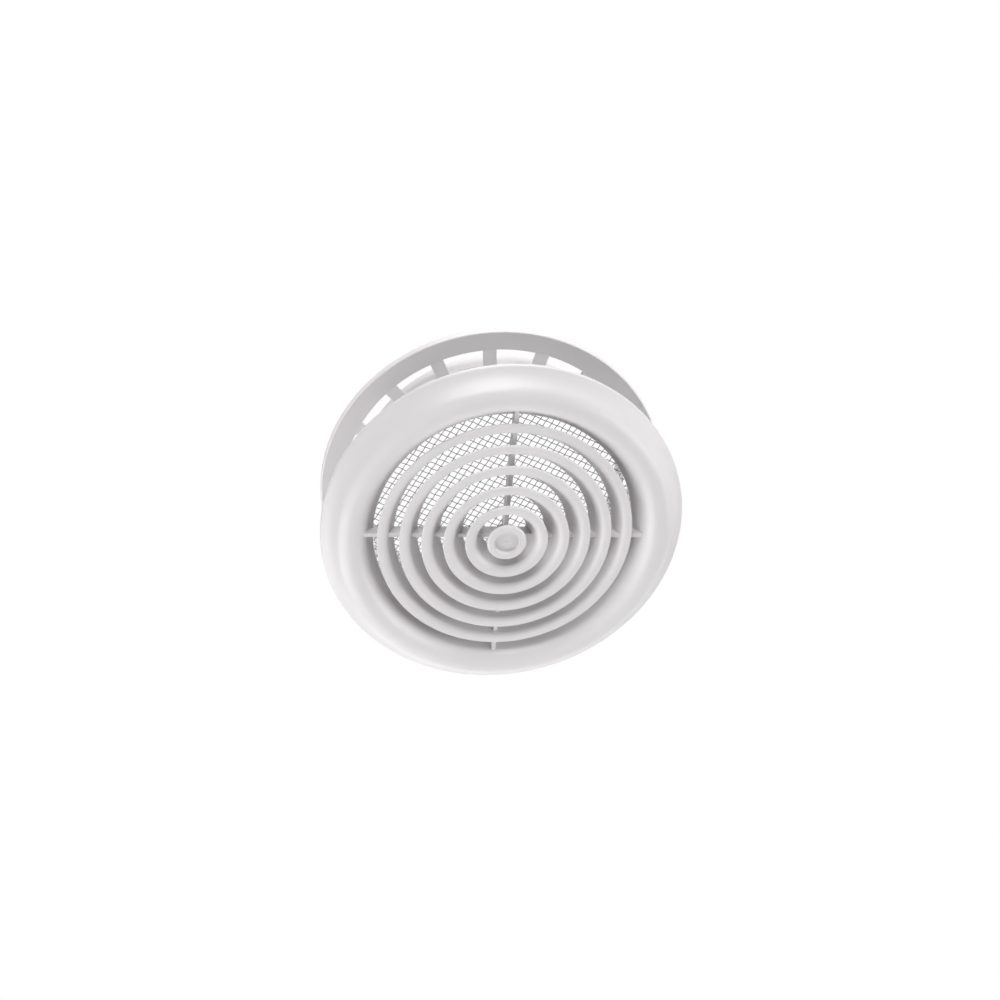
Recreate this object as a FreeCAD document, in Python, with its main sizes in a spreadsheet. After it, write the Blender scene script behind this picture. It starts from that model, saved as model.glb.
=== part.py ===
import FreeCAD, Part
import math
import os
import Sketcher

# Round vent cover: a flared grille on spring legs, its insect screen and a mounting ring with a duct spigot.
# Each body is drawn with X right, Y up and Z out of the face, then turned so that the face looks to -Y.

doc = FreeCAD.newDocument("round_vent_cover")
sheet = doc.addObject("Spreadsheet::Sheet", "Sizes")
V = FreeCAD.Vector

# Driving sizes in millimetres and degrees
SIZES = [
    ("plate_radius", 67.5),
    ("shell_wall", 1.8),
    ("rim_round", 0.8),
    ("rim_slope", 30),
    ("flare_slope", 60),
    ("crest_share", 0.4389),
    ("crest_round_share", 0.3056),
    ("crest_above_screen", 8.4),
    ("throat_slope", 51.3),
    ("neck_radius", 49.5),
    ("neck_wall", 1.2),
    ("skirt_depth", 2),
    ("skirt_least", 0.6),
    ("stand_off", 33.5),
    ("leg_count", 3),
    ("leg_phase", 30),
    ("leg_width", 10),
    ("leg_wall", 1.3),
    ("leg_step", 0.1),
    ("leg_clearance", 0.3),
    ("leg_overlap", 10),
    ("leg_lead", 0.6),
    ("spigot_wall", 1),
    ("spigot_reach", 8.4),
    ("spigot_lead", 0.8),
    ("spigot_heel", 0.5),
    ("rib_thickness", 1.5),
    ("rib_depth", 5),
    ("rib_bite", 0.8),
    ("rib_count", 4),
    ("hub_radius", 7.3),
    ("hub_draft", 0.9),
    ("hub_round", 0.9),
    ("dish_radius", 4.6),
    ("dish_depth", 1.5),
    ("dish_draft", 0.8),
    ("gate_radius", 0.5),
    ("gate_depth", 0.25),
    ("lip_gap", 1),
    ("lip_flat", 1.3),
    ("dome_height", 10.4),
    ("dome_radius", 300),
    ("vane_wall", 1.2),
    ("vane_round", 3),
    ("vane_slope", 64),
    ("screen_gap", 0.2),
    ("screen_thickness", 0.8),
    ("screen_rim", 0.8),
    ("screen_bar", 0.8),
    ("screen_bars", 11),
    ("screen_turn", 64),
    ("flange_inset", 1.5),
    ("flange_thickness", 3.6),
    ("flange_dish", 1.8),
    ("flange_back_round", 1.2),
    ("flange_front_round", 0.5),
    ("slot_share", 0.4533),
    ("spoke_width", 5),
    ("spoke_back", 0.6),
    ("spoke_thickness", 1.2),
    ("spoke_count", 18),
    ("spoke_phase", 15.7),
    ("spoke_bite", 0.6),
]

RING_COUNT = 5
row = 0


def cell(name, content):
    """Add one named cell to the sheet."""
    global row
    row += 1
    sheet.set("A%d" % row, name)
    sheet.set("B%d" % row, content)
    sheet.setAlias("B%d" % row, name)


def point(name, across, along):
    """Add the two cells of a profile point: its distance from the axis and its height."""
    cell(name + "_across", "=" + across)
    cell(name + "_along", "=" + along)


for size_name, size_value in SIZES:
    cell(size_name, str(size_value))

# Radii shared by the grille and the mounting ring
cell("throat_bore", "=neck_radius - neck_wall")
cell("leg_bore", "=throat_bore + leg_step")
cell("leg_radius", "=leg_bore + leg_wall")
cell("spigot_bore", "=leg_radius + leg_clearance")
cell("spigot_radius", "=spigot_bore + spigot_wall")
cell("flange_radius", "=plate_radius - flange_inset")
cell("slot_radius", "=spigot_radius + (flange_radius - spigot_radius) * slot_share")

# Crest of the plate, placed in the band between the skirt and the plate's edge
cell("band", "=plate_radius - neck_radius")
cell("crest_radius", "=neck_radius + band * crest_share")
cell("crest_round", "=band * crest_round_share")
cell("crest_back_round", "=crest_round - shell_wall")

# Heights, from the end of the spigot
cell("screen_front", "=spigot_reach + stand_off")
cell("rib_front", "=screen_front + rib_depth")
cell("crest_heart", "=screen_front + crest_above_screen - crest_round")
cell("flange_front_height", "=spigot_reach + flange_thickness")
cell("spoke_rear", "=spigot_reach + spoke_back")
cell("spoke_front", "=spoke_rear + spoke_thickness")

# Profile of the plate, throat and skirt
point(
    "throat",
    "crest_radius - crest_round * sin(throat_slope)",
    "crest_heart + crest_round * cos(throat_slope)",
)
point(
    "flare",
    "crest_radius + crest_round * sin(flare_slope)",
    "crest_heart + crest_round * cos(flare_slope)",
)
cell("flare_reach", "=plate_radius - rim_round * (1 - sin(rim_slope)) - flare_across")
cell("flare_round", "=flare_reach / (sin(flare_slope) - sin(rim_slope))")
cell("flare_back_round", "=flare_round + shell_wall")
point("rim", "flare_across + flare_reach", "flare_along - flare_round * (cos(rim_slope) - cos(flare_slope))")
point("rim_side", "plate_radius", "rim_along - rim_round * cos(rim_slope)")
point("rim_back", "rim_across - shell_wall * sin(rim_slope)", "rim_along - shell_wall * cos(rim_slope)")
point("rim_corner", "plate_radius", "rim_back_along")
point(
    "flare_back",
    "flare_across - shell_wall * sin(flare_slope)",
    "flare_along - shell_wall * cos(flare_slope)",
)
point(
    "throat_back",
    "throat_across + shell_wall * sin(throat_slope)",
    "throat_along - shell_wall * cos(throat_slope)",
)
point("neck", "neck_radius", "throat_back_along - (throat_back_across - neck_radius) * tan(throat_slope)")
cell("skirt_end", "=min(neck_along - skirt_least; screen_front - skirt_depth)")
point("skirt_out", "neck_radius", "skirt_end")
point("skirt_in", "throat_bore", "skirt_end")
point("throat_end", "throat_bore", "throat_along - (throat_across - throat_bore) * tan(throat_slope)")

# Profile of one spring leg, from its root in the throat wall to its tip inside the spigot
cell("leg_root", "=screen_front - screen_thickness / 2")
cell("leg_end", "=flange_front_height - leg_overlap")
point("leg_root_in", "leg_bore", "leg_root")
point("leg_root_out", "leg_radius", "leg_root")
point("leg_lead_out", "leg_radius", "leg_end + 2 * leg_lead")
point("leg_tip_out", "leg_radius - leg_lead", "leg_end")
point("leg_tip_in", "leg_bore", "leg_end")
cell("leg_angle", "=leg_width / leg_radius * 180 / pi")

# Profile of one rib, its sloping end sunk in the throat wall
point("rib_back_axis", "0", "screen_front")
point("rib_back_tip", "throat_bore + rib_bite", "screen_front")
point(
    "rib_front_tip",
    "throat_bore + rib_bite + (rib_front - throat_end_along) / tan(throat_slope)",
    "rib_front",
)
point("rib_front_axis", "0", "rib_front")

# Profile of the hub with its shallow dish and gate mark
cell("hub_top", "=screen_front + dome_height")
point("hub_back_axis", "0", "screen_front")
point("hub_back", "hub_radius - hub_draft", "screen_front")
point("hub_side", "hub_radius", "hub_top - hub_round")
point("hub_brow", "hub_radius - hub_round", "hub_top")
point("dish_edge", "dish_radius", "hub_top")
point("dish_floor", "dish_radius - dish_draft", "hub_top - dish_depth")
point("gate_edge", "gate_radius", "hub_top - dish_depth")
point("gate_side", "gate_radius", "hub_top - dish_depth - gate_depth")
point("gate_axis", "0", "hub_top - dish_depth - gate_depth")

# Profiles of the vane rings, their lips on a shallow dome
cell("lip_round", "=0.6 * vane_wall")
cell("lip_bulge", "=lip_round - sqrt(lip_round ^ 2 - vane_wall ^ 2 / 4)")
cell("vane_back_round", "=vane_round - vane_wall")
cell("ring_pitch", "=(throat_bore - lip_gap - hub_radius) / %d" % RING_COUNT)
for number in range(1, RING_COUNT + 1):
    ring = "ring%d" % number
    cell(ring + "_lip", "=hub_radius + ring_pitch * %d" % number)
    cell(ring + "_top", "=hub_top - dome_radius + sqrt(dome_radius ^ 2 - %s_lip ^ 2)" % ring)
    point(ring + "_brow", ring + "_lip - lip_bulge", ring + "_top")
    point(ring + "_shelf", ring + "_brow_across - lip_flat", ring + "_top")
    point(
        ring + "_bend",
        ring + "_shelf_across - vane_round * sin(vane_slope)",
        ring + "_top - vane_round + vane_round * cos(vane_slope)",
    )
    point(
        ring + "_tail",
        ring + "_bend_across - (%s_bend_along - screen_front) / tan(vane_slope)" % ring,
        "screen_front",
    )
    point(ring + "_tail_back", ring + "_tail_across + vane_wall / sin(vane_slope)", "screen_front")
    point(
        ring + "_bend_back",
        ring + "_bend_across + vane_wall * sin(vane_slope)",
        ring + "_bend_along - vane_wall * cos(vane_slope)",
    )
    point(ring + "_shelf_back", ring + "_shelf_across", ring + "_top - vane_wall")
    point(ring + "_brow_back", ring + "_brow_across", ring + "_top - vane_wall")

# Profile of the mounting ring: a dished flange, a spigot and one spoke between them
point("flange_back_in", "slot_radius", "spigot_reach")
point("flange_back", "flange_radius - flange_back_round", "spigot_reach")
point("flange_side_back", "flange_radius", "spigot_reach + flange_back_round")
point("flange_side_front", "flange_radius", "flange_front_height - flange_front_round")
point("flange_front", "flange_radius - flange_front_round", "flange_front_height")
point("flange_front_in", "slot_radius", "flange_front_height - flange_dish")
point("spigot_mouth_in", "spigot_bore", "spoke_front")
point("spigot_mouth_out", "spigot_radius + spigot_heel", "spoke_front")
point("spigot_heel_end", "spigot_radius", "spoke_rear - spigot_heel")
point("spigot_side", "spigot_radius", "spigot_lead")
point("spigot_end_out", "spigot_radius - spigot_lead / 2", "0")
point("spigot_end_in", "spigot_bore", "0")
point("spoke_back_in", "spigot_radius - spoke_bite", "spoke_rear")
point("spoke_back_out", "slot_radius + spoke_bite", "spoke_rear")
point("spoke_front_out", "slot_radius + spoke_bite", "spoke_front")
point("spoke_front_in", "spigot_radius - spoke_bite", "spoke_front")

# Sizes of the screen
cell("screen_radius", "=throat_bore - screen_gap")
cell("screen_bore", "=screen_radius - screen_rim")
cell("screen_span", "=2 * screen_radius * (screen_bars - 1) / (screen_bars + 0.4)")
cell("screen_long", "=2.2 * screen_radius")
cell("screen_trim", "=1.6 * screen_radius")
doc.recompute()


def value(name):
    return float(sheet.get(name))


def new_body(name):
    body = doc.addObject("PartDesign::Body", name)
    body.Label = name
    return body


def origin_item(body, role):
    """Return one plane or axis of the body's own origin."""
    return [item for item in body.Origin.OriginFeatures if item.Role == role][0]


def new_sketch(body, name, role):
    sketch = body.newObject("Sketcher::SketchObject", name)
    sketch.AttachmentSupport = [(origin_item(body, role), "")]
    sketch.MapMode = "FlatFace"
    return sketch


def turn_sketch(sketch, name):
    """Turn a sketch about the body's axis by the named angle."""
    sketch.AttachmentOffset = FreeCAD.Placement(V(0, 0, 0), FreeCAD.Rotation(V(0, 1, 0), value(name)))
    sketch.setExpression("AttachmentOffset.Rotation.Angle", "Sizes." + name)


def drive(sketch, constraint, name):
    """Add a measured constraint and bind it to a named cell."""
    index = sketch.addConstraint(constraint)
    sketch.setExpression("Constraints[%d]" % index, "Sizes." + name)


def pin_vertex(sketch, edge, end, name):
    """Hold the end of an edge at the named point."""
    for kind, suffix, axis in (("DistanceX", "_across", -2), ("DistanceY", "_along", -1)):
        distance = value(name + suffix)
        if abs(distance) < 1e-9:
            sketch.addConstraint(Sketcher.Constraint("PointOnObject", edge, end, axis))
        else:
            drive(sketch, Sketcher.Constraint(kind, -1, 1, edge, end, distance), name + suffix)


def arc_through(start, finish, radius, side):
    """Return the short arc between two points, bulging to the left (1) or right (-1) of the way."""
    way = finish - start
    half = way.Length / 2
    left = V(-way.y, way.x, 0).normalize()
    sagitta = radius - math.sqrt(max(radius * radius - half * half, 0))
    middle = (start + finish) * 0.5 + left * (side * sagitta)
    return Part.Arc(start, middle, finish)


def draw_profile(sketch, path):
    """Draw a closed profile. Each step is (point, None) or (point, (radius cell, side)) to the next."""
    spots = [V(value(name + "_across"), value(name + "_along"), 0) for name, bend in path]
    edges = []
    for step, (name, bend) in enumerate(path):
        start = spots[step]
        finish = spots[(step + 1) % len(path)]
        if bend is None:
            edge = sketch.addGeometry(Part.LineSegment(start, finish))
        else:
            edge = sketch.addGeometry(arc_through(start, finish, value(bend[0]), bend[1]))
        forward = (sketch.getPoint(edge, 1) - start).Length < (sketch.getPoint(edge, 2) - start).Length
        edges.append((edge, 1 if forward else 2, 2 if forward else 1))
    for step, (name, bend) in enumerate(path):
        edge, first, last = edges[step]
        following = edges[(step + 1) % len(path)]
        sketch.addConstraint(Sketcher.Constraint("Coincident", edge, last, following[0], following[1]))
        pin_vertex(sketch, edge, first, name)
    for step, (name, bend) in enumerate(path):
        if bend is not None:
            edge = edges[step][0]
            drive(sketch, Sketcher.Constraint("Radius", edge, value(bend[0])), bend[0])


def revolve(body, sketch, name):
    feature = body.newObject("PartDesign::Revolution", name)
    feature.Profile = sketch
    feature.ReferenceAxis = (sketch, ["V_Axis"])
    feature.Angle = 360
    sketch.Visibility = False
    return feature


def pad(body, sketch, name, length):
    feature = body.newObject("PartDesign::Pad", name)
    feature.Profile = sketch
    feature.setExpression("Length", "Sizes." + length)
    sketch.Visibility = False
    return feature


def polar(body, original, name, count):
    feature = body.newObject("PartDesign::PolarPattern", name)
    feature.Originals = [original]
    feature.Axis = (origin_item(body, "Z_Axis"), [""])
    feature.Angle = 360
    feature.setExpression("Occurrences", "Sizes." + count)
    body.Tip = feature
    return feature


def circle(sketch, radius):
    """Draw a circle about the axis."""
    edge = sketch.addGeometry(Part.Circle(V(0, 0, 0), V(0, 0, 1), value(radius)))
    sketch.addConstraint(Sketcher.Constraint("Coincident", edge, 3, -1, 1))
    drive(sketch, Sketcher.Constraint("Radius", edge, value(radius)), radius)


def stand(body, depth):
    """Turn a body's face to -Y and set its start at a depth, measured inwards from the wall plane."""
    body.Placement = FreeCAD.Placement(V(0, 0, 0), FreeCAD.Rotation(V(1, 0, 0), 90))
    body.setExpression("Placement.Base.y", depth)


# Front grille: plate, throat and skirt in one turned shell
grille = new_body("front_grille")
shell_sketch = new_sketch(grille, "shell_profile", "XZ_Plane")
draw_profile(shell_sketch, [
    ("skirt_in", None),
    ("throat_end", None),
    ("throat", ("crest_round", 1)),
    ("flare", ("flare_round", -1)),
    ("rim", ("rim_round", 1)),
    ("rim_side", None),
    ("rim_corner", None),
    ("rim_back", ("flare_back_round", 1)),
    ("flare_back", ("crest_back_round", -1)),
    ("throat_back", None),
    ("neck", None),
    ("skirt_out", None),
])
doc.recompute()
shell = revolve(grille, shell_sketch, "shell")
doc.recompute()

# Three spring legs that slide into the spigot
leg_sketch = new_sketch(grille, "leg_profile", "XZ_Plane")
turn_sketch(leg_sketch, "leg_phase")
draw_profile(leg_sketch, [
    ("leg_root_in", None),
    ("leg_root_out", None),
    ("leg_lead_out", None),
    ("leg_tip_out", None),
    ("leg_tip_in", None),
])
doc.recompute()
leg = revolve(grille, leg_sketch, "leg")
leg.Midplane = True
leg.setExpression("Angle", "Sizes.leg_angle")
doc.recompute()
legs = polar(grille, leg, "legs", "leg_count")
doc.recompute()

# Four straight ribs that carry the vanes
rib_sketch = new_sketch(grille, "rib_profile", "XZ_Plane")
draw_profile(rib_sketch, [
    ("rib_back_axis", None),
    ("rib_back_tip", None),
    ("rib_front_tip", None),
    ("rib_front_axis", None),
])
doc.recompute()
rib = pad(grille, rib_sketch, "rib", "rib_thickness")
rib.Midplane = True
doc.recompute()
ribs = polar(grille, rib, "ribs", "rib_count")
doc.recompute()

# Hub and concentric curved vanes
hub_sketch = new_sketch(grille, "hub_profile", "XZ_Plane")
draw_profile(hub_sketch, [
    ("hub_back_axis", None),
    ("hub_back", None),
    ("hub_side", ("hub_round", -1)),
    ("hub_brow", None),
    ("dish_edge", None),
    ("dish_floor", None),
    ("gate_edge", None),
    ("gate_side", None),
    ("gate_axis", None),
])
doc.recompute()
hub = revolve(grille, hub_sketch, "hub")
doc.recompute()

vane_sketch = new_sketch(grille, "vane_profiles", "XZ_Plane")
for number in range(1, RING_COUNT + 1):
    ring = "ring%d" % number
    draw_profile(vane_sketch, [
        (ring + "_brow", None),
        (ring + "_shelf", ("vane_round", -1)),
        (ring + "_bend", None),
        (ring + "_tail", None),
        (ring + "_tail_back", None),
        (ring + "_bend_back", ("vane_back_round", 1)),
        (ring + "_shelf_back", None),
        (ring + "_brow_back", ("lip_round", -1)),
    ])
doc.recompute()
vanes = revolve(grille, vane_sketch, "vanes")
grille.Tip = vanes
stand(grille, "Sizes.spigot_reach")
doc.recompute()

# Insect screen: a rim and two crossed rows of bars
screen = new_body("insect_screen")
rim_sketch = new_sketch(screen, "screen_rim_profile", "XY_Plane")
circle(rim_sketch, "screen_radius")
circle(rim_sketch, "screen_bore")
doc.recompute()
screen_hoop = pad(screen, rim_sketch, "screen_hoop", "screen_thickness")
doc.recompute()


def bar_row(name, turn, turn_text):
    """Add a row of parallel bars, turned about the axis."""
    sketch = new_sketch(screen, name + "_profile", "XY_Plane")
    sketch.AttachmentOffset = FreeCAD.Placement(V(0, 0, 0), FreeCAD.Rotation(V(0, 0, 1), turn))
    sketch.setExpression("AttachmentOffset.Rotation.Angle", turn_text)
    half = value("screen_long") / 2
    low = value("screen_span") / 2
    wide = value("screen_bar") / 2
    corners = [
        V(-half, -low - wide, 0),
        V(half, -low - wide, 0),
        V(half, -low + wide, 0),
        V(-half, -low + wide, 0),
    ]
    for step in range(4):
        sketch.addGeometry(Part.LineSegment(corners[step], corners[(step + 1) % 4]))
    for step in range(4):
        sketch.addConstraint(Sketcher.Constraint("Coincident", step, 2, (step + 1) % 4, 1))
    for step, kind in ((1, "Vertical"), (2, "Horizontal"), (3, "Vertical")):
        sketch.addConstraint(Sketcher.Constraint(kind, step))
    sketch.addConstraint(Sketcher.Constraint("Symmetric", 0, 1, 0, 2, -2))
    drive(sketch, Sketcher.Constraint("DistanceX", 0, 1, 0, 2, 2 * half), "screen_long")
    drive(sketch, Sketcher.Constraint("DistanceY", 1, 1, 1, 2, 2 * wide), "screen_bar")
    index = sketch.addConstraint(Sketcher.Constraint("DistanceY", 0, 1, -1, 1, low + wide))
    sketch.setExpression("Constraints[%d]" % index, "Sizes.screen_span / 2 + Sizes.screen_bar / 2")
    doc.recompute()
    bar = pad(screen, sketch, name + "_bar", "screen_thickness")
    doc.recompute()
    pattern = screen.newObject("PartDesign::LinearPattern", name)
    pattern.Originals = [bar]
    pattern.Direction = (sketch, ["V_Axis"])
    pattern.setExpression("Length", "Sizes.screen_span")
    pattern.setExpression("Occurrences", "Sizes.screen_bars")
    screen.Tip = pattern
    doc.recompute()


bar_row("long_bars", value("screen_turn"), "Sizes.screen_turn")
bar_row("cross_bars", value("screen_turn") + 90, "Sizes.screen_turn + 90")

trim_sketch = new_sketch(screen, "screen_edge", "XY_Plane")
circle(trim_sketch, "screen_radius")
circle(trim_sketch, "screen_trim")
doc.recompute()
trim = screen.newObject("PartDesign::Pocket", "screen_trimmed")
trim.Profile = trim_sketch
trim.Type = "ThroughAll"
trim.Midplane = True
trim_sketch.Visibility = False
screen.Tip = trim
stand(screen, "Sizes.screen_thickness - Sizes.stand_off")
doc.recompute()

# Mounting ring: a dished flange and a spigot, joined by a circle of spokes
mounting = new_body("mounting_ring")
flange_sketch = new_sketch(mounting, "flange_profile", "XZ_Plane")
draw_profile(flange_sketch, [
    ("flange_back_in", None),
    ("flange_back", ("flange_back_round", -1)),
    ("flange_side_back", None),
    ("flange_side_front", ("flange_front_round", -1)),
    ("flange_front", None),
    ("flange_front_in", None),
])
doc.recompute()
flange = revolve(mounting, flange_sketch, "flange")
doc.recompute()

spoke_sketch = new_sketch(mounting, "spoke_profile", "XZ_Plane")
turn_sketch(spoke_sketch, "spoke_phase")
draw_profile(spoke_sketch, [
    ("spoke_back_in", None),
    ("spoke_back_out", None),
    ("spoke_front_out", None),
    ("spoke_front_in", None),
])
doc.recompute()
spoke = pad(mounting, spoke_sketch, "spoke", "spoke_width")
spoke.Midplane = True
doc.recompute()
spokes = polar(mounting, spoke, "spokes", "spoke_count")
doc.recompute()

spigot_sketch = new_sketch(mounting, "spigot_profile", "XZ_Plane")
draw_profile(spigot_sketch, [
    ("spigot_end_in", None),
    ("spigot_mouth_in", None),
    ("spigot_mouth_out", None),
    ("spigot_heel_end", None),
    ("spigot_side", None),
    ("spigot_end_out", None),
])
doc.recompute()
spigot = revolve(mounting, spigot_sketch, "spigot")
mounting.Tip = spigot
stand(mounting, "Sizes.spigot_reach")
doc.recompute()

# Write the bodies
for item in doc.Objects:
    if "Invalid" in item.State or "Error" in item.State:
        raise RuntimeError("feature failed: " + item.Name)
os.makedirs("parts", exist_ok=True)
for body in (grille, screen, mounting):
    shape = body.Shape
    if shape.isNull() or not shape.isValid():
        raise RuntimeError("bad shape: " + body.Label)
    shape.exportStep("parts/%s.step" % body.Label)
    box = shape.BoundBox
    print(body.Label, len(shape.Solids), "solids", round(shape.Volume), "mm3")
    print("  x %.2f %.2f" % (box.XMin, box.XMax))
    print("  y %.2f %.2f" % (box.YMin, box.YMax))
    print("  z %.2f %.2f" % (box.ZMin, box.ZMax))
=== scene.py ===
import math

import bmesh
import bpy
from mathutils import Euler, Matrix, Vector


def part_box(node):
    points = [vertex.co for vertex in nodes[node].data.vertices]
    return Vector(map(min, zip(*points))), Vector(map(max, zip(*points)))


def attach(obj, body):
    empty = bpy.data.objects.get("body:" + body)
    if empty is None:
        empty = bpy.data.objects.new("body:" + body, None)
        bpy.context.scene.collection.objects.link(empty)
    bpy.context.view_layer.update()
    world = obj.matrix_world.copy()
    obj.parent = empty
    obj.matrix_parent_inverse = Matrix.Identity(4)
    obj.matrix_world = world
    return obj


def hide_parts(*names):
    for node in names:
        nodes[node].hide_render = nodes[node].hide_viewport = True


# Looks of the round vent cover: satin white mouldings, a woven insect screen and a soft
# white studio. Lengths are in metres and angles in degrees, in the shared frame: the face
# looks to -Y and +Z is up.

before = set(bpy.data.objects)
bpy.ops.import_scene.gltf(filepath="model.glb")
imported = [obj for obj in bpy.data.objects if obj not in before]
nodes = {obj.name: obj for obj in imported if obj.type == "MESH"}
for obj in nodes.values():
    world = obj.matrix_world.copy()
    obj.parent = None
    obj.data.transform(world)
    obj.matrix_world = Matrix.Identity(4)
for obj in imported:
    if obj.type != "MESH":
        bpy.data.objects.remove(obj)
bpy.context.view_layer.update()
scene = bpy.context.scene
MM = 0.001

# Plastics: the two colours of each one's faint clouding, and its mean roughness
GRILLE_COLOURS = (0.775, 0.755, 0.760), (0.800, 0.780, 0.785)
GRILLE_ROUGHNESS = 0.36
# The ring's colours are lighter than the grille's as painted light: this lifts the flange's
# front face, which lies in the plate's shade.
RING_LIGHTENED_COLOURS = (0.845, 0.823, 0.829), (0.870, 0.848, 0.853)
RING_ROUGHNESS = 0.38
WIRE_COLOURS = (0.210, 0.205, 0.205), (0.270, 0.265, 0.265)
WIRE_ROUGHNESS = 0.5
PLASTIC_IOR = 1.49

# Noise in the plastics: each layer's scale and detail, and the span that its factor fills
CLOUD = (38, 3)
GLOSS = (160, 4)
GRAIN = (5200, 2)
NOISE_ROUGHNESS = 0.55
NOISE_LOW = 0.3
NOISE_HIGH = 0.7
GLOSS_SPREAD = 0.05
GRAIN_STRENGTH = 0.12
GRAIN_HEIGHT = 0.04 * MM

# Woven screen: two rows of wires, each wire in a few steps from one crossing to the next
WIRE_RADIUS = 0.14 * MM
WIRE_PITCH = 2.295 * MM
WIRE_TURNS = (-23.9, 61.2)
WIRE_WAVE = 0.17 * MM
WIRE_SIDES = 6
WIRE_STEPS = 4
LEAST_STEPS = 4
OUTWARDS = Vector((0, -1, 0))

# Hub: the solid's drafted post is drawn in behind its rounded cap to a slim stem. The hub
# is the foremost part of the grille, and its post ends at the screen.
HUB_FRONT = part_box("front_grille")[0].y
HUB_ROUND = 0.9 * MM
HUB_RADIUS = 7.3 * MM
HUB_DRAFT = 0.9 * MM
POST_FRONT = HUB_FRONT + HUB_ROUND
POST_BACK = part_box("insect_screen")[0].y
STEM_RADIUS = 2.0 * MM
STEM_FLARE = 2.6 * MM
RIB_HALF = 0.76 * MM

# Dish in the hub: its edge is widened a little and its floor more
DISH_RADIUS = 4.6 * MM
DISH_DRAFT = 0.8 * MM
DISH_WIDER = 0.15 * MM
DISH_FLOOR_WIDER = 0.75 * MM

# Innermost vane: its wall is opened towards the back, from the bend behind its lip
VANE_BEND = HUB_FRONT + 2.08 * MM
VANE_REACH = 12.3 * MM
VANE_OPENING = 1.5 * MM

# Points of the hub: how near counts as on a surface, and as one place; then the largest
# angle between two faces that are shaded as one surface
SLACK = 0.06 * MM
SAME_PLACE = 0.0001 * MM
SMOOTH_COSINE = math.cos(math.radians(30))

# Camera
FOCAL_PIXELS = 1700
IMAGE_PIXELS = 1000
SENSOR_WIDTH = 36
CAMERA_PLACE = Vector((-100.46, -559.77, 330.19)) * MM
CAMERA_TURN = (59.163, -4.900, -7.649)

# Studio: each lamp has a name, a height angle, a side angle from the front of the face and
# a power in watts
WHITE = (1, 1, 1, 1)
SEEN_STRENGTH = 1
SKY_STRENGTH = 0.02
FLOOR_COLOUR = (0.9, 0.9, 0.9, 1)
FLOOR_ROUGHNESS = 0.9
FLOOR_HEIGHT = -0.62
FLOOR_SIZE = 8
LAMP_AIM = Vector((0, -0.03, 0))
LAMP_DISTANCE = 1.3
LAMP_LOWEST = -0.5
LAMP_SIZE = 0.8
LAMPS = [
    ("top_lamp", 77, -30, 14.0),
    ("low_lamp", -65, -52, 7.0),
    ("front_lamp", 12, 60, 6.6),
    ("side_lamp", -7, 90, 3.4),
    ("back_lamp", 48, 180, 5.6),
]


def add_object(name, data):
    """Add an object with the given data to the scene."""
    thing = bpy.data.objects.new(name, data)
    scene.collection.objects.link(thing)
    return thing


# Materials

def new_material(name):
    """Return a new material with its node tree and its principled shader."""
    material = bpy.data.materials.new(name)
    material.use_nodes = True
    tree = material.node_tree
    return material, tree, tree.nodes["Principled BSDF"]


def noise(tree, coordinates, layer):
    """Add a noise texture over the coordinates, with the layer's scale and detail."""
    scale, detail = layer
    node = tree.nodes.new("ShaderNodeTexNoise")
    node.inputs["Scale"].default_value = scale
    node.inputs["Detail"].default_value = detail
    node.inputs["Roughness"].default_value = NOISE_ROUGHNESS
    tree.links.new(coordinates, node.inputs["Vector"])
    return node.outputs["Fac"]


def spread(tree, factor, low, high):
    """Map a noise factor to the range from low to high."""
    node = tree.nodes.new("ShaderNodeMapRange")
    node.inputs["From Min"].default_value = NOISE_LOW
    node.inputs["From Max"].default_value = NOISE_HIGH
    node.inputs["To Min"].default_value = low
    node.inputs["To Max"].default_value = high
    tree.links.new(factor, node.inputs["Value"])
    return node.outputs["Result"]


def tint(tree, factor, colours):
    """Blend a dark and a light colour by a noise factor."""
    node = tree.nodes.new("ShaderNodeValToRGB")
    ends = zip(node.color_ramp.elements, (NOISE_LOW, NOISE_HIGH), colours)
    for element, position, colour in ends:
        element.position = position
        element.color = (*colour, 1)
    tree.links.new(factor, node.inputs["Fac"])
    return node.outputs["Color"]


def moulded_plastic(name, colours, roughness):
    """Return a satin plastic with faint clouding, uneven gloss and a very fine grain."""
    material, tree, shader = new_material(name)
    place = tree.nodes.new("ShaderNodeTexCoord").outputs["Object"]
    colour = tint(tree, noise(tree, place, CLOUD), colours)
    tree.links.new(colour, shader.inputs["Base Color"])
    gloss = noise(tree, place, GLOSS)
    uneven = spread(tree, gloss, roughness - GLOSS_SPREAD, roughness + GLOSS_SPREAD)
    tree.links.new(uneven, shader.inputs["Roughness"])
    bump = tree.nodes.new("ShaderNodeBump")
    bump.inputs["Strength"].default_value = GRAIN_STRENGTH
    bump.inputs["Distance"].default_value = GRAIN_HEIGHT
    tree.links.new(noise(tree, place, GRAIN), bump.inputs["Height"])
    tree.links.new(bump.outputs["Normal"], shader.inputs["Normal"])
    shader.inputs["IOR"].default_value = PLASTIC_IOR
    return material


def dress(node, material):
    """Give a CAD node a better material."""
    mesh = nodes[node].data
    mesh.materials.clear()
    mesh.materials.append(material)


# Grille with its hub as a cap on a stem

def post_radius(depth):
    """Return the radius of the solid's drafted post at a share of its depth."""
    return HUB_RADIUS - HUB_DRAFT * depth


def stem_radius(depth):
    """Return the stem's radius at a share of the post's depth: wide at the cap, then slim."""
    behind = depth * (POST_BACK - POST_FRONT)
    return STEM_RADIUS + (HUB_RADIUS - STEM_RADIUS) * math.exp(-behind / STEM_FLARE)


def dish_radius(reach):
    """Return the new distance from the axis of a point on the dish's wall.

    The points inside the floor's edge stay, and None is returned for them.
    """
    past_floor = reach - (DISH_RADIUS - DISH_DRAFT)
    if past_floor < -SLACK:
        return None
    share = past_floor / DISH_DRAFT
    return reach + DISH_FLOOR_WIDER + (DISH_WIDER - DISH_FLOOR_WIDER) * share


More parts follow.
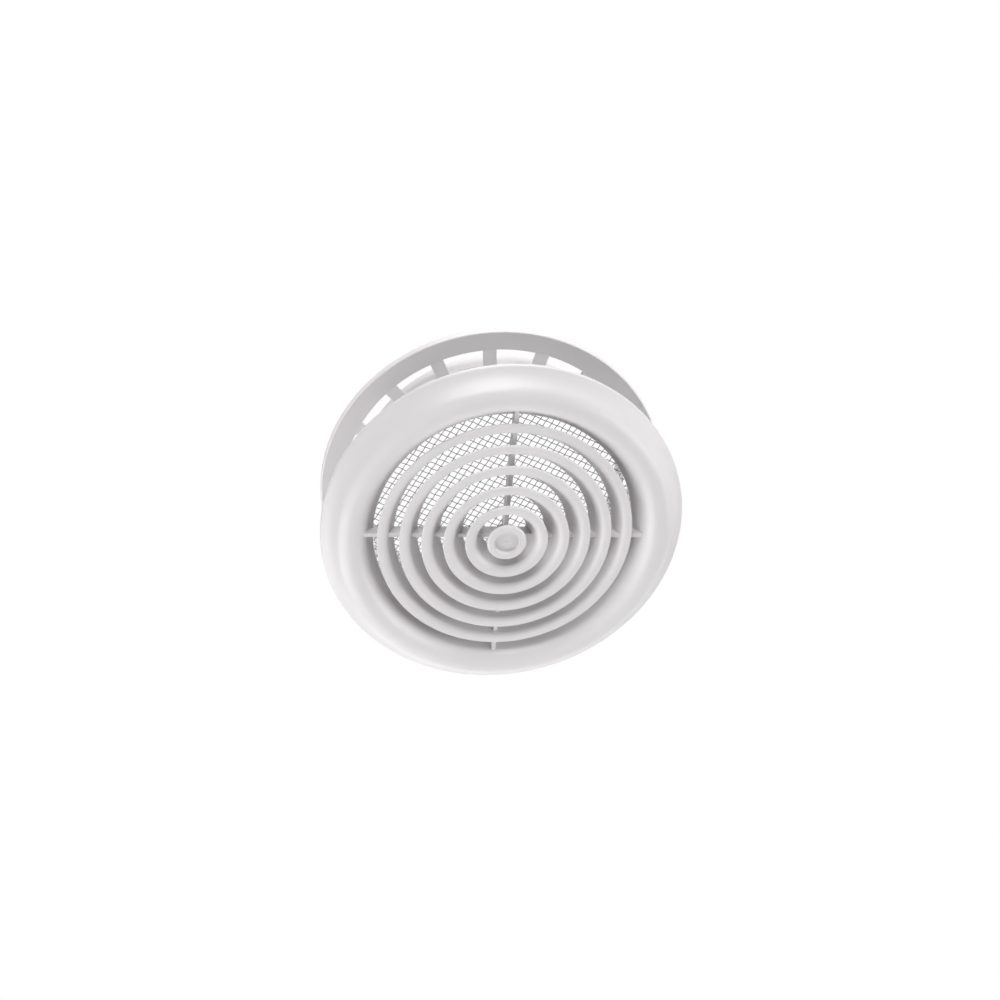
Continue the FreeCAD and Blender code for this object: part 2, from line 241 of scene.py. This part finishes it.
def new_reach(spot, reach):
    """Return a point's new distance from the axis, or None where the point stays."""
    if reach < DISH_RADIUS + SLACK:
        return dish_radius(reach)
    if spot.y < POST_FRONT + SLACK:
        return None
    depth = (spot.y - POST_FRONT) / (POST_BACK - POST_FRONT)
    if abs(reach - post_radius(depth)) < SLACK:
        return stem_radius(depth)
    if spot.y > VANE_BEND + SLACK and post_radius(depth) < reach < VANE_REACH:
        return reach + VANE_OPENING * (spot.y - VANE_BEND) / (POST_BACK - VANE_BEND)
    return None


def reshape(spot):
    """Move a point to its new distance from the axis, and say whether it moved.

    A point on a rib moves along the rib, so that the rib's sides stay flat.
    """
    reach = math.hypot(spot.x, spot.z)
    aim = new_reach(spot, reach)
    if aim is None:
        return False
    if abs(spot.z) < RIB_HALF and abs(spot.z) < abs(spot.x):
        spot.x = math.copysign(math.sqrt(aim * aim - spot.z * spot.z), spot.x)
    elif abs(spot.x) < RIB_HALF:
        spot.z = math.copysign(math.sqrt(aim * aim - spot.x * spot.x), spot.z)
    else:
        spot.x *= aim / reach
        spot.z *= aim / reach
    return True


def place_key(data, index):
    """Return a vertex's place, rounded so that split vertices share it."""
    return tuple(round(value / SAME_PLACE) for value in data.vertices[index].co)


def smooth_bends(data, faces):
    """Return the faces' corner normals, smoothed over the neighbours that bend little."""
    around = {}
    for face in faces:
        for index in face.vertices:
            around.setdefault(place_key(data, index), []).append(face)
    bends = {}
    for face in faces:
        for corner, index in zip(face.loop_indices, face.vertices):
            bend = Vector()
            for other in around[place_key(data, index)]:
                if other.normal.dot(face.normal) > SMOOTH_COSINE:
                    bend += other.normal * other.area
            bends[corner] = bend.normalized()
    return bends


def slim_hub():
    """Replace the grille by a copy with a slim hub, a wider dish and an open ring round it."""
    source = nodes["front_grille"].data
    data = source.copy()
    data.name = "grille_moulding"
    bends = [corner.vector.copy() for corner in source.corner_normals]
    moved = {vertex.index for vertex in data.vertices if reshape(vertex.co)}
    data.update()
    faces = [face for face in data.polygons if not moved.isdisjoint(face.vertices)]
    for corner, bend in smooth_bends(data, faces).items():
        bends[corner] = bend
    data.normals_split_custom_set(bends)
    piece = add_object("grille_moulding", data)
    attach(piece, "cover")
    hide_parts("front_grille")


# Woven screen

def wire_ring(mesh, middle, across):
    """Add a ring of points round the middle of a wire."""
    ring = []
    for side in range(WIRE_SIDES):
        angle = 2 * math.pi * side / WIRE_SIDES
        aim = across * math.cos(angle) + OUTWARDS * math.sin(angle)
        ring.append(mesh.verts.new(middle + aim * WIRE_RADIUS))
    return ring


def wire_skin(mesh, rings):
    """Close a wire over its rings, with a flat face at each end."""
    for near, far in zip(rings, rings[1:]):
        for side in range(WIRE_SIDES):
            follow = (side + 1) % WIRE_SIDES
            face = mesh.faces.new((near[side], near[follow], far[follow], far[side]))
            face.smooth = True
    mesh.faces.new(reversed(rings[0]))
    mesh.faces.new(rings[-1])


def wire_row(mesh, turn, phase, centre, reach):
    """Add a row of parallel wires, each waving over and under the wires of the other row.

    The phase is 1 for one row and -1 for the other, which waves the opposite way.
    """
    angle = math.radians(turn)
    along = Vector((math.cos(angle), 0, math.sin(angle)))
    across = Vector((-along.z, 0, along.x))
    skew = math.radians(WIRE_TURNS[1] - WIRE_TURNS[0])
    gap = WIRE_PITCH / math.sin(skew)
    count = int(reach / WIRE_PITCH)
    for number in range(-count, count + 1):
        offset = number * WIRE_PITCH
        half = math.sqrt(reach * reach - offset * offset)
        shift = offset / math.tan(skew) * phase
        lift = WIRE_WAVE * phase * (-1) ** number
        steps = max(LEAST_STEPS, int(2 * half / gap * WIRE_STEPS))
        rings = []
        for step in range(steps + 1):
            travel = -half + 2 * half * step / steps
            wave = lift * math.cos(math.pi * (travel + shift) / gap)
            middle = centre + along * travel + across * offset + OUTWARDS * wave
            rings.append(wire_ring(mesh, middle, across))
        wire_skin(mesh, rings)


def woven_screen(material):
    """Replace the CAD screen by two rows of wires in the same place."""
    low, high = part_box("insect_screen")
    centre = (low + high) / 2
    reach = (high.x - low.x) / 2
    mesh = bmesh.new()
    wire_row(mesh, WIRE_TURNS[0], 1, centre, reach)
    wire_row(mesh, WIRE_TURNS[1], -1, centre, reach)
    bmesh.ops.recalc_face_normals(mesh, faces=mesh.faces)
    data = bpy.data.meshes.new("woven_screen")
    mesh.to_mesh(data)
    mesh.free()
    data.materials.append(material)
    piece = add_object("woven_screen", data)
    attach(piece, "cover")
    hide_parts("insect_screen")


# Studio

def seen_directly(tree):
    """Return a factor of 1 for the rays that come from the camera, a reflection or glass."""
    path = tree.nodes.new("ShaderNodeLightPath")
    total = path.outputs["Is Camera Ray"]
    for kind in ("Is Glossy Ray", "Is Transmission Ray"):
        either = tree.nodes.new("ShaderNodeMath")
        either.operation = "MAXIMUM"
        tree.links.new(total, either.inputs[0])
        tree.links.new(path.outputs[kind], either.inputs[1])
        total = either.outputs["Value"]
    return total


def show_white(tree, hidden, seen, output):
    """Show one shader where the background is seen, and the other to light that bounces."""
    mix = tree.nodes.new("ShaderNodeMixShader")
    tree.links.new(seen_directly(tree), mix.inputs["Fac"])
    tree.links.new(hidden, mix.inputs[1])
    tree.links.new(seen, mix.inputs[2])
    tree.links.new(mix.outputs["Shader"], output)


def make_floor():
    """Add a wide pale floor, far below the cover."""
    half = FLOOR_SIZE / 2
    corners = ((-half, -half), (half, -half), (half, half), (-half, half))
    data = bpy.data.meshes.new("floor")
    data.from_pydata([(x, y, FLOOR_HEIGHT) for x, y in corners], [], [(0, 1, 2, 3)])
    material, tree, shader = new_material("floor_white")
    shader.inputs["Base Color"].default_value = FLOOR_COLOUR
    shader.inputs["Roughness"].default_value = FLOOR_ROUGHNESS
    glow = tree.nodes.new("ShaderNodeEmission")
    glow.inputs["Color"].default_value = WHITE
    glow.inputs["Strength"].default_value = SEEN_STRENGTH
    output = tree.nodes["Material Output"].inputs["Surface"]
    show_white(tree, shader.outputs["BSDF"], glow.outputs["Emission"], output)
    data.materials.append(material)
    floor = add_object("floor", data)


def make_world():
    """Set even white surroundings that light the cover only faintly."""
    world = bpy.data.worlds.new("studio")
    world.use_nodes = True
    scene.world = world
    tree = world.node_tree
    sky = tree.nodes["Background"]
    seen = tree.nodes.new("ShaderNodeBackground")
    for node, strength in ((sky, SKY_STRENGTH), (seen, SEEN_STRENGTH)):
        node.inputs["Color"].default_value = WHITE
        node.inputs["Strength"].default_value = strength
    output = tree.nodes["World Output"].inputs["Surface"]
    show_white(tree, sky.outputs["Background"], seen.outputs["Background"], output)


def make_lamp(name, height_angle, side_angle, power):
    """Add a soft square lamp that is turned to the cover and kept above the floor."""
    height, side = math.radians(height_angle), math.radians(side_angle)
    level = math.cos(height)
    away = Vector((level * math.sin(side), -level * math.cos(side), math.sin(height)))
    place = LAMP_AIM + LAMP_DISTANCE * away
    place.z = max(place.z, LAMP_LOWEST)
    data = bpy.data.lights.new(name, "AREA")
    data.shape = "SQUARE"
    data.size = LAMP_SIZE
    data.energy = power
    lamp = add_object(name, data)
    lamp.location = place
    lamp.rotation_euler = (LAMP_AIM - place).to_track_quat("-Z", "Y").to_euler()


def make_camera():
    """Add the camera at the photograph's angle."""
    data = bpy.data.cameras.new("camera")
    data.sensor_width = SENSOR_WIDTH
    data.lens = FOCAL_PIXELS * SENSOR_WIDTH / IMAGE_PIXELS
    camera = add_object("camera", data)
    camera.location = CAMERA_PLACE
    camera.rotation_euler = Euler([math.radians(turn) for turn in CAMERA_TURN], "XYZ")
    scene.camera = camera


dress("front_grille", moulded_plastic("white_plastic", GRILLE_COLOURS, GRILLE_ROUGHNESS))
dress("mounting_ring", moulded_plastic("ring_plastic", RING_LIGHTENED_COLOURS, RING_ROUGHNESS))
slim_hub()
woven_screen(moulded_plastic("wire_plastic", WIRE_COLOURS, WIRE_ROUGHNESS))
make_floor()
make_world()
for lamp in LAMPS:
    make_lamp(*lamp)
make_camera()
scene.view_settings.view_transform = "Standard"
